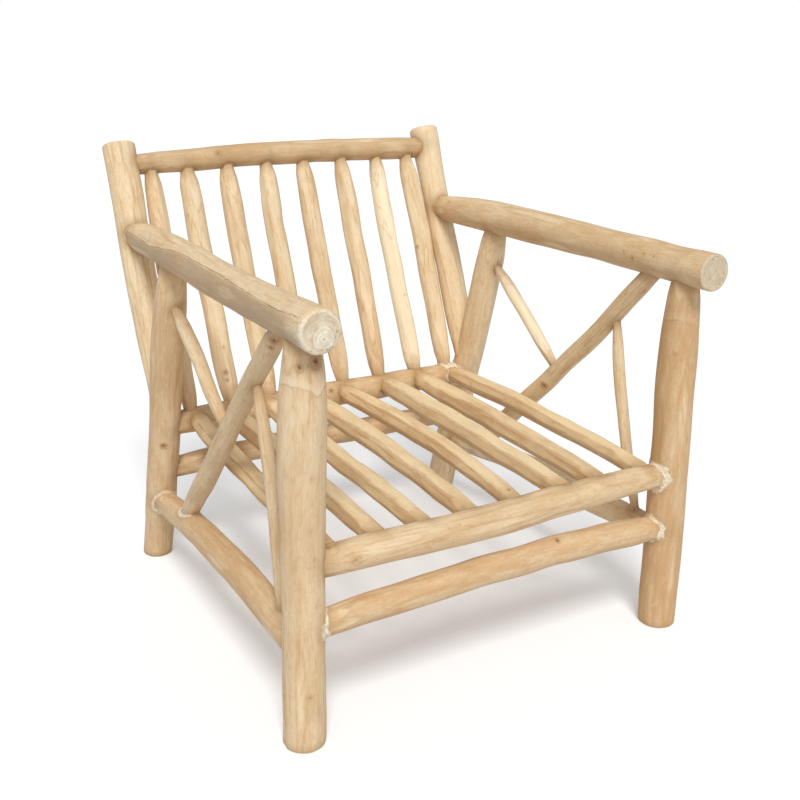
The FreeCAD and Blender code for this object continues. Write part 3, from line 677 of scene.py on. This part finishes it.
def shades(log, s, angle):
    """How tan and grey each point is, and its distance in millimetres from the nearest crack."""
    tan, gray = LOOKS.get(log.name, (log.rng.uniform(0.3, 0.5), 0.08))
    tan = np.full(len(s), tan)
    gray = np.full(len(s), gray)
    turned = np.abs(around(angle))
    # Painted shade: the arms' lower sides are greyer, partly the wood's own grey and partly painted
    # shade where the light from above does not reach
    if "arm" in log.name:
        below = np.clip((turned - 1.3) / 0.7, 0, 1)
        gray = gray + (0.80 if log.name == "left_arm" else 0.30) * below
    if "slat" in log.name:
        tan = tan - 0.41 + 0.68 * np.clip((turned - 0.62) / 0.2, 0, 1)
    crack = np.full(len(s), FAR)
    for trail in log.cracks:
        turn = around(angle - np.interp(s, trail[:, 0], trail[:, 1]))
        past = np.maximum(np.maximum(trail[0, 0] - s, s - trail[-1, 0]), 0)
        away = (turn * np.median(log.radii) + np.sign(turn) * past) * MILLIMETRES
        crack = np.where(np.abs(away) < np.abs(crack), away, crack)
        # Below the left arm's crack the wood is greyer and tanner: partly its own two tones, partly
        # painted shade on the side turned from the light
        under = np.clip(-turn / 0.12, 0, 1) * np.clip(1 - past / 0.07, 0, 1)
        under = under * np.clip((from_ends(log, s, True) - 0.02) / 0.07, 0, 1)
        gray = np.maximum(gray, 0.72 * under)
        tan = np.maximum(tan, 0.85 * under)
    return tan, gray, crack


def sawn_zone(log, s, angle):
    """Distance from a sawn end, in widths of the pale zone round it. The floor hides the feet."""
    width = 0.003
    if log.name == "left_arm":
        width = 0.004 + 0.011 * np.clip((np.abs(around(angle)) - 0.7) / 0.7, 0, 1)
    sawn = from_ends(log, s, True)
    return np.full(len(s), FAR) if "leg" in log.name else np.minimum(sawn / width, FAR)


def leg_and_post(first, second):
    """Whether one of the logs is a leg and the other a post, which pass with no seam to see."""
    return {"leg", "post"} <= set(first.name.split("_")) | set(second.name.split("_"))


def seam_gap(log, points):
    """Distance of points from the logs joined to this one, and from the floor for a leg."""
    seam = np.full(len(points), JOINT_REACH)
    for other in log.partners:
        if not leg_and_post(log, other):
            seam = np.minimum(seam, other.clearance(points))
    # On a leg the distance to the floor also counts, so the wood paints contact shade there too
    return np.minimum(seam, points[:, 2]) if "leg" in log.name else seam


def dress(log, materials):
    """The log's piece, which stands for its CAD node."""
    skin = tube(log)
    points = np.clip(skin["points"], np.array(cad_box[0]), np.array(cad_box[1]))
    s, angle, reach = skin["s"], skin["angle"], skin["reach"]
    mesh = bpy.data.meshes.new(log.name + "_wood")
    mesh.from_pydata(points.tolist(), [], skin["faces"])
    mesh.polygons.foreach_set("material_index", skin["is_cap"].astype(int))
    mesh.polygons.foreach_set("use_smooth", np.ones(len(skin["faces"]), bool))

    size = np.median(log.radii)
    knot, warp = knot_field(log, s, angle)
    tan, gray, crack = shades(log, s, angle)
    shoulder = np.full(len(points), FAR * 100)
    if log.shoulder is not None:
        line = np.interp(around(angle), log.shoulder[:, 1], log.shoulder[:, 0])
        shoulder = (s - line) * MILLIMETRES
    joint = np.minimum(from_ends(log, s, False), JOINT_REACH)
    turned = angle - warp / np.maximum(reach, 0.004)
    grain = np.column_stack([reach * np.cos(turned), reach * np.sin(turned), s])
    grain += log.rng.uniform(-3, 3, 3)
    heart = pith_place(log) * size
    across_u, across_v = reach * np.cos(angle) - heart[0], reach * np.sin(angle) - heart[1]
    pith = np.column_stack([across_u, across_v, reach / size])
    for name, values in (("grain", grain), ("knot", knot), ("pith", pith)):
        attribute = mesh.attributes.new(name, "FLOAT_VECTOR", "POINT")
        attribute.data.foreach_set("vector", values.ravel())
    for name, values in (
        ("crack", crack), ("seam", seam_gap(log, points)), ("joint", joint), ("tan", tan),
        ("gray", gray), ("filler", skin["filler"]), ("planed", skin["planed"]),
        ("shoulder", shoulder), ("sawn", sawn_zone(log, s, angle)),
    ):
        attribute = mesh.attributes.new(name, "FLOAT", "POINT")
        attribute.data.foreach_set("value", values)
    for material in materials:
        mesh.materials.append(material)
    piece = bpy.data.objects.new(log.name + "_wood", mesh)
    bpy.context.scene.collection.objects.link(piece)
    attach(piece, "root")
    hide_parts(log.name)
    return piece


def slot_of(name):
    """The material slot of a log, by the word for its kind in its name."""
    for kind in ("leg", "arm", "post", "spindle", "slat", "brace"):
        if kind in name:
            return kind + "_wood"
    return "rail_wood"


class Graph:
    """Short names for building the nodes of a material or of the world."""

    def __init__(self, owner):
        self.owner = owner
        owner.use_nodes = True
        self.tree = owner.node_tree
        self.tree.nodes.clear()

    def put(self, socket, value):
        """Link a socket to an output of another node, or set its value."""
        if isinstance(value, bpy.types.NodeSocket):
            self.tree.links.new(value, socket)
        else:
            socket.default_value = value

    def node(self, kind, values=(), **settings):
        made = self.tree.nodes.new(kind)
        for key, value in settings.items():
            setattr(made, key, value)
        for key, value in dict(values).items():
            self.put(made.inputs[key], value)
        return made

    def attribute(self, name, vector=False):
        made = self.node("ShaderNodeAttribute", attribute_name=name)
        return made.outputs["Vector" if vector else "Fac"]

    def math(self, kind, *terms):
        return self.node("ShaderNodeMath", dict(enumerate(terms)), operation=kind).outputs[0]

    def times(self, first, second):
        return self.math("MULTIPLY", first, second)

    def plus(self, first, second):
        return self.math("ADD", first, second)

    def scaled(self, value, factor, offset):
        return self.math("MULTIPLY_ADD", value, factor, offset)

    def along(self, vector, squeeze):
        """The place on the log squeezed along its axis, so that a pattern is drawn out there."""
        values = {0: vector, 1: (1, 1, squeeze)}
        return self.node("ShaderNodeVectorMath", values, operation="MULTIPLY").outputs[0]

    def noise(self, vector, scale, detail=4.0, rough=0.55, distortion=0.0):
        values = {
            "Vector": vector, "Scale": scale, "Detail": detail, "Roughness": rough,
            "Distortion": distortion,
        }
        return self.node("ShaderNodeTexNoise", values).outputs["Fac"]

    def ragged(self, value, place, scale, amount, detail=4.0, rough=0.55):
        """A distance made ragged, by up to half of amount to either side."""
        noise = self.noise(place, scale, detail, rough)
        return self.plus(value, self.scaled(noise, amount, -amount / 2))

    def fade(self, value, low, high, start=0.0, end=1.0):
        """From start at low smoothly to end at high."""
        values = {"Value": value, "From Min": low, "From Max": high, "To Min": start, "To Max": end}
        made = self.node("ShaderNodeMapRange", values, interpolation_type="SMOOTHSTEP")
        return made.outputs["Result"]

    def blend(self, factor, under, over):
        made = self.node("ShaderNodeMix", {0: factor}, data_type="RGBA")
        self.put(made.inputs[6], under)
        self.put(made.inputs[7], over)
        return made.outputs[2]

    def bump(self, height, strength, distance, normal=None):
        values = {"Height": height, "Strength": strength, "Distance": distance}
        if normal is not None:
            values["Normal"] = normal
        return self.node("ShaderNodeBump", values).outputs["Normal"]

    def finish(self, color, roughness, normal, specular=0.35):
        shader = self.node("ShaderNodeBsdfPrincipled", {
            "Base Color": color, "Roughness": roughness, "Normal": normal,
            "Specular IOR Level": specular,
        })
        self.node("ShaderNodeOutputMaterial", {"Surface": shader.outputs[0]})
        return self.owner


CREAM = (0.89, 0.73, 0.49, 1)
STRAW = (0.80, 0.58, 0.33, 1)
TAN = (0.64, 0.39, 0.185, 1)
HONEY = (0.55, 0.31, 0.13, 1)
GOLD = (0.88, 0.68, 0.39, 1)
PEACH = (1.0, 0.87, 0.62, 1)
PALE = (0.90, 0.78, 0.58, 1)
GREY = (0.43, 0.33, 0.22, 1)
FIBRE_AND_SHADE = (0.42, 0.27, 0.13, 1)
DARK = (0.19, 0.10, 0.05, 1)
GAP = (0.22, 0.12, 0.055, 1)
CRACK = (0.24, 0.13, 0.06, 1)
SPECK = (0.30, 0.17, 0.08, 1)
KNOT = (0.46, 0.24, 0.10, 1)
KNOT_RING = (0.30, 0.16, 0.07, 1)
FILLER = (0.84, 0.74, 0.58, 1)
SAWN = (0.83, 0.73, 0.56, 1)
SAWN_DARK = (0.64, 0.51, 0.35, 1)
SAWN_HEART = (0.98, 0.89, 0.73, 1)
SAWN_RIM = (0.66, 0.49, 0.33, 1)
SAWN_RIDGE = (0.93, 0.88, 0.76, 1)
SAWN_STEP = (0.45, 0.33, 0.20, 1)
YEAR_RING = (0.50, 0.38, 0.24, 1)
PITH = (0.40, 0.27, 0.14, 1)
WHITE = (1, 1, 1, 1)
# What a planed flat is painted with, and how much of it
PLANED = {"slat_wood": (GOLD, 0.75), "spindle_wood": (CREAM, 0.60)}
PLANED_OTHERS = (CREAM, 0.40)


def wood(name, deep):
    """Peeled wood. deep is how much of the darker patches it shows."""
    planed_color, planed_share = PLANED.get(name, PLANED_OTHERS)
    g = Graph(bpy.data.materials.new(name))
    grain = g.attribute("grain", vector=True)
    tan = g.attribute("tan")
    broad = g.noise(g.along(grain, 0.25), 14, 3, 0.5, 0.9)
    patches = g.noise(g.along(grain, 0.22), 44, 4, 0.5, 1.1)
    blotch = g.noise(g.along(grain, 0.38), 80, 4, 0.6, 1.0)
    mottle = g.noise(g.along(grain, 0.45), 150, 4, 0.6, 0.8)
    streaks = g.noise(g.along(grain, 0.06), 240, 5, 0.6, 0.6)
    fibres = g.noise(g.along(grain, 0.05), 700, 4, 0.6)
    dashes = g.noise(g.along(grain, 0.14), 800, 2, 0.5)
    grey_patches = g.noise(g.along(grain, 0.35), 24, 4, 0.6, 0.8)
    specks = g.noise(g.along(grain, 0.30), 300, 2, 0.5)
    crumbs = g.noise(grain, 300, 4, 0.7)

    # Fine lines like the contours of a map, where the broad pattern lets them through
    contour = g.noise(g.along(grain, 0.15), 17, 2, 0.4, 0.7)
    line = g.math("FRACT", g.times(contour, 15))
    figure = g.times(g.fade(line, 0.0, 0.12, 1, 0), g.fade(line, 0.0, 0.02))
    figure = g.times(figure, g.fade(broad, 0.42, 0.56))

    # Cream with straw patches, tan and grey where the log is so, and calm where it is pale
    calm = g.fade(tan, -0.6, 0.0, 0.15, 1.0)
    color = g.blend(g.times(calm, g.fade(patches, 0.34, 0.66, 0.20, 0.80)), CREAM, STRAW)
    tanned = g.fade(patches, 0.32, 0.68, 0.72, 1.12)
    amount = g.scaled(tanned, g.plus(tan, deep), g.fade(broad, 0.36, 0.66, -0.14, 0.20))
    color = g.blend(amount, color, TAN)
    color = g.blend(g.times(calm, g.fade(blotch, 0.54, 0.70, 0, 0.28)), color, HONEY)
    color = g.blend(g.times(calm, g.fade(mottle, 0.50, 0.68, 0, 0.22)), color, HONEY)
    color = g.blend(g.fade(mottle, 0.46, 0.30, 0, 0.22), color, PALE)
    color = g.blend(g.times(calm, g.fade(streaks, 0.50, 0.70, 0, 0.28)), color, HONEY)
    color = g.blend(g.fade(streaks, 0.46, 0.30, 0, 0.20), color, PALE)
    color = g.blend(g.fade(tan, -0.25, -0.70, 0, 0.80), color, PEACH)
    color = g.blend(g.times(figure, 0.40), color, HONEY)
    # Grey patches: the log's own grey, and on the arms' lower sides partly painted shade
    grey_stain_and_shade = g.times(g.attribute("gray"), g.fade(grey_patches, 0.25, 0.62, 0.35, 1.0))
    color = g.blend(grey_stain_and_shade, color, GREY)
    color = g.blend(g.times(calm, g.fade(fibres, 0.44, 0.72, 0, 0.20)), color, FIBRE_AND_SHADE)
    color = g.blend(g.times(calm, g.fade(dashes, 0.58, 0.72, 0, 0.30)), color, FIBRE_AND_SHADE)

    # Planed flats are pale, and their edges brown
    planed = g.attribute("planed")
    share = g.fade(patches, 0.35, 0.65, planed_share, 0.3 * planed_share)
    color = g.blend(g.times(g.fade(planed, 0.012, 0.035), share), color, planed_color)
    edge = g.times(g.fade(planed, 0.0005, 0.006), g.fade(planed, 0.022, 0.009))
    color = g.blend(g.times(edge, g.fade(streaks, 0.42, 0.6, 0.10, 0.45)), color, HONEY)

    # Freshly cut, orange-brown wood towards the joints, a dark gap here and there, and painted
    # shade close to joined logs and, on a leg, to the floor
    cut = g.ragged(g.attribute("joint"), grain, 45, 0.09, 4, 0.6)
    color = g.blend(g.fade(cut, 0.018, 0.05, 0.42, 0), color, HONEY)
    seam = g.attribute("seam")
    # On a leg the dark gap line also runs along the floor, where it is a painted contact shadow
    gap = g.times(g.fade(seam, -0.0014, -0.0004), g.fade(seam, 0.0003, 0.0015, 0.75, 0))
    gap = g.times(gap, g.fade(g.noise(grain, 38, 3), 0.40, 0.58))
    color = g.blend(gap, color, GAP)
    color = g.blend(g.fade(seam, 0.001, 0.007, 0.25, 0), color, HONEY)
    # Painted shade: darker brown within 17 mm of a joined log, and of the floor on a leg, where the
    # joint shades the wood
    color = g.blend(g.fade(seam, 0.0, 0.017, 0.46, 0), color, FIBRE_AND_SHADE)

    # Knots: a brown halo, a ring and a dark core
    knot = g.node("ShaderNodeSeparateXYZ", {0: g.attribute("knot", vector=True)})
    beside, ahead, dark = knot.outputs
    off = g.math("SQRT", g.plus(g.times(beside, beside), g.times(ahead, ahead)))
    off = g.ragged(off, grain, 240, 1.5, 4, 0.65)
    core = g.times(g.fade(off, 0.10, 0.70, 1, 0), dark)
    from_ring = g.math("ABSOLUTE", g.math("SUBTRACT", off, 0.85))
    color = g.blend(g.times(g.fade(off, 0.5, 2.0, 0.60, 0), dark), color, KNOT)
    color = g.blend(g.times(g.fade(from_ring, 0.0, 0.30, 0.4, 0), dark), color, KNOT_RING)
    color = g.blend(core, color, DARK)

    # Drying cracks and small specks
    crack = g.math("ABSOLUTE", g.ragged(g.attribute("crack"), grain, 90, 5.0))
    broken = g.fade(g.noise(grain, 30, 3), 0.30, 0.55, 0.25, 0.8)
    crack_line = g.times(g.fade(crack, 0.15, 1.0, 1, 0), broken)
    color = g.blend(crack_line, color, CRACK)
    color = g.blend(g.fade(specks, 0.70, 0.78, 0, 0.5), color, SPECK)

    # The line where a whittled end begins, and paler wood beyond it
    shoulder = g.ragged(g.attribute("shoulder"), grain, 70, 11.0, 4, 0.6)
    whittled = g.times(g.fade(shoulder, 0.0, 3.0), g.fade(shoulder, 16.0, 6.0, 0, 0.30))
    color = g.blend(g.times(whittled, g.fade(tan, 0.2, 0.9, 1, 0.25)), color, PALE)
    faint = g.fade(g.noise(grain, 50, 3), 0.35, 0.60, 0.10, 0.42)
    drawn = g.fade(g.math("ABSOLUTE", shoulder), 0.2, 2.4, 1, 0)
    color = g.blend(g.times(faint, drawn), color, FIBRE_AND_SHADE)

    # Pale, crumbly wood at a sawn end
    sawn = g.fade(g.ragged(g.attribute("sawn"), grain, 95, 3.2, 5, 0.7), 0.3, 1.5, 0.92, 0)
    sawn_color = g.blend(g.fade(g.plus(blotch, tan), 0.5, 0.95), SAWN, SAWN_DARK)
    color = g.blend(sawn, color, sawn_color)
    pitted = g.times(sawn, g.fade(g.noise(grain, 55, 3), 0.46, 0.60))
    color = g.blend(g.times(pitted, g.fade(crumbs, 0.50, 0.58, 0, 0.85)), color, FIBRE_AND_SHADE)

    # Pale filler round some joints
    filler = g.ragged(g.attribute("filler"), grain, 110, 0.9, 4, 0.65)
    patchy = g.fade(g.noise(grain, 65, 3), 0.30, 0.48, 0.35, 1)
    filled = g.times(g.fade(filler, 0.34, 0.62), patchy)
    color = g.blend(filled, color, FILLER)
    color = g.blend(g.times(filled, g.fade(crumbs, 0.50, 0.66, 0, 0.75)), color, HONEY)

    height = g.plus(g.times(streaks, 0.6), g.plus(g.times(fibres, 0.3), g.times(mottle, 0.5)))
    height = g.math("SUBTRACT", height, g.plus(g.times(crack_line, 1.5), g.times(core, 0.8)))
    height = g.plus(height, g.times(g.math("MAXIMUM", filled, sawn), g.times(crumbs, 1.6)))
    normal = g.bump(height, 0.6, 0.0008)
    normal = g.bump(patches, 0.35, 0.0016, normal)
    return g.finish(color, g.fade(streaks, 0.3, 0.7, 0.50, 0.66), normal)


def end_grain(name):
    """Sawn end: pale, with a heart, growth rings, the saw's ridges and a crumbly rim."""
    g = Graph(bpy.data.materials.new(name))
    pith = g.node("ShaderNodeSeparateXYZ", {0: g.attribute("pith", vector=True)})
    across_u, across_v, from_middle = pith.outputs
    flat = g.node("ShaderNodeCombineXYZ", {"X": across_u, "Y": across_v}).outputs[0]
    distance = g.node("ShaderNodeVectorMath", {0: flat}, operation="LENGTH").outputs["Value"]
    grain = g.attribute("grain", vector=True)
    tan = g.attribute("tan")
    wobble = g.noise(flat, 60, 3)
    blotch = g.noise(grain, 85, 5, 0.65)
    crumbs = g.noise(grain, 300, 4, 0.7)
    specks = g.noise(grain, 520, 2)
    color = g.blend(g.fade(blotch, 0.36, 0.66, 0, 0.8), SAWN, SAWN_DARK)
    color = g.blend(g.fade(tan, 0.0, 0.4, 0, 0.75), color, SAWN_DARK)

    # A pale heart inside a darker rim
    warped = g.scaled(g.noise(flat, 45, 3), 0.006, distance)
    pale = g.fade(tan, -0.05, 0.35, 1, 0)
    color = g.blend(g.times(pale, g.fade(warped, 0.0170, 0.0215, 0.36, 0)), color, SAWN_HEART)
    color = g.blend(g.times(pale, g.fade(warped, 0.0185, 0.0235, 0, 0.26)), color, SAWN_RIM)

    # Growth rings, the saw's pale ridges, the edge of its step, and the pith
    ring = g.math("SINE", g.times(g.scaled(wobble, 0.0035, distance), 2900))
    rings = g.times(g.fade(ring, -0.3, 0.9), g.fade(g.noise(flat, 110, 3), 0.35, 0.6))
    color = g.blend(g.times(rings, 0.20), color, YEAR_RING)
    ridge = g.fade(g.math("SINE", g.times(warped, 1150.0)), 0.4, 1.0, 0, 0.30)
    patchy = g.fade(g.noise(grain, 60, 3), 0.47, 0.62)
    color = g.blend(g.times(ridge, patchy), color, SAWN_RIDGE)
    step = g.times(g.fade(distance, 0.0145, 0.0160), g.fade(distance, 0.0180, 0.0165))
    color = g.blend(g.times(step, g.fade(blotch, 0.4, 0.6, 0.05, 0.4)), color, SAWN_STEP)
    core = g.plus(distance, g.scaled(wobble, 0.003, -0.0015))
    color = g.blend(g.fade(core, 0.0006, 0.0016, 0.6, 0), color, PITH)

    # The crumbly rim
    rim = g.times(g.fade(from_middle, 0.55, 0.75), g.fade(g.noise(grain, 55, 3), 0.44, 0.58))
    color = g.blend(g.times(rim, g.fade(crumbs, 0.50, 0.58, 0, 0.85)), color, FIBRE_AND_SHADE)
    color = g.blend(g.fade(specks, 0.66, 0.74, 0, 0.6), color, DARK)
    height = g.plus(g.times(rings, 0.4), g.plus(blotch, g.times(crumbs, 0.9)))
    normal = g.bump(height, 0.7, 0.0010)
    return g.finish(color, g.fade(blotch, 0.3, 0.7, 0.70, 0.85), normal, 0.25)


DEEP_SHARES = {
    "leg_wood": 0.12, "arm_wood": 0.10, "post_wood": 0.05, "spindle_wood": 0.05,
    "slat_wood": 0.10, "brace_wood": 0.12, "rail_wood": 0.08,
}
woods = {slot: wood(slot, deep) for slot, deep in DEEP_SHARES.items()}
sawn_end = end_grain("sawn_end")
for log in logs.values():
    dress(log, (woods[slot_of(log.name)], sawn_end))

FLOOR_REACH = 30
FLOOR_COLOR = (0.80, 0.80, 0.80, 1)
FLOOR_GLOW = 0.25
AMBIENT_COLOR = (0.94, 0.97, 1.0, 1)
AMBIENT_STRENGTH = 0.45


def stage_floor():
    """A white floor that keeps the shadow."""
    mesh = bpy.data.meshes.new("floor")
    corners = [(-1, -1), (1, -1), (1, 1), (-1, 1)]
    points = [(x * FLOOR_REACH, y * FLOOR_REACH, 0) for x, y in corners]
    mesh.from_pydata(points, [], [(0, 1, 2, 3)])
    floor = bpy.data.objects.new("floor", mesh)
    bpy.context.scene.collection.objects.link(floor)
    g = Graph(bpy.data.materials.new("floor_white"))
    plain = g.node("ShaderNodeBsdfDiffuse", {"Color": FLOOR_COLOR}).outputs[0]
    glow = g.node("ShaderNodeEmission", {"Strength": FLOOR_GLOW}).outputs[0]
    both = g.node("ShaderNodeAddShader", {0: plain, 1: glow}).outputs[0]
    seen = g.node("ShaderNodeLightPath").outputs["Is Camera Ray"]
    pick = g.node("ShaderNodeMixShader", {0: seen, 1: plain, 2: both}).outputs[0]
    g.node("ShaderNodeOutputMaterial", {"Surface": pick})
    mesh.materials.append(g.owner)


def sun(name, azimuth, elevation, spread, power):
    """A soft light from far away. The azimuth counts from the front of the chair to its left."""
    data = bpy.data.lights.new(name, "SUN")
    data.energy = power
    data.angle = radians(spread)
    lamp = bpy.data.objects.new(name, data)
    turn, rise = radians(azimuth), radians(elevation)
    towards = Vector((-sin(turn) * cos(rise), -cos(turn) * cos(rise), sin(rise)))
    lamp.rotation_euler = towards.to_track_quat("Z", "Y").to_euler()
    bpy.context.scene.collection.objects.link(lamp)


def light_world():
    """A plain ambient light. The camera sees pure white behind the chair."""
    world = bpy.data.worlds.new("studio")
    bpy.context.scene.world = world
    g = Graph(world)
    seen = g.node("ShaderNodeLightPath").outputs
    ambient = g.node("ShaderNodeBackground", {"Color": AMBIENT_COLOR, "Strength": AMBIENT_STRENGTH})
    backdrop = g.node("ShaderNodeBackground", {"Color": WHITE, "Strength": 1.0})
    shown = g.math("MAXIMUM", seen["Is Camera Ray"], seen["Is Transmission Ray"])
    shaders = {0: shown, 1: ambient.outputs[0], 2: backdrop.outputs[0]}
    pick = g.node("ShaderNodeMixShader", shaders)
    g.node("ShaderNodeOutputWorld", {"Surface": pick.outputs[0]})


stage_floor()
sun("key", azimuth=25, elevation=53, spread=17, power=2.10)
sun("fill", azimuth=20, elevation=15, spread=60, power=0.30)
light_world()

camera_data = bpy.data.cameras.new("camera")
camera_data.sensor_width = SENSOR_WIDTH
camera_data.lens = FOCAL_PIXELS / IMAGE_SIZE * SENSOR_WIDTH
camera_data.clip_end = 100
camera = bpy.data.objects.new("camera", camera_data)
camera.matrix_world = camera_matrix()
bpy.context.scene.collection.objects.link(camera)
bpy.context.scene.camera = camera
bpy.context.scene.view_settings.view_transform = "Standard"
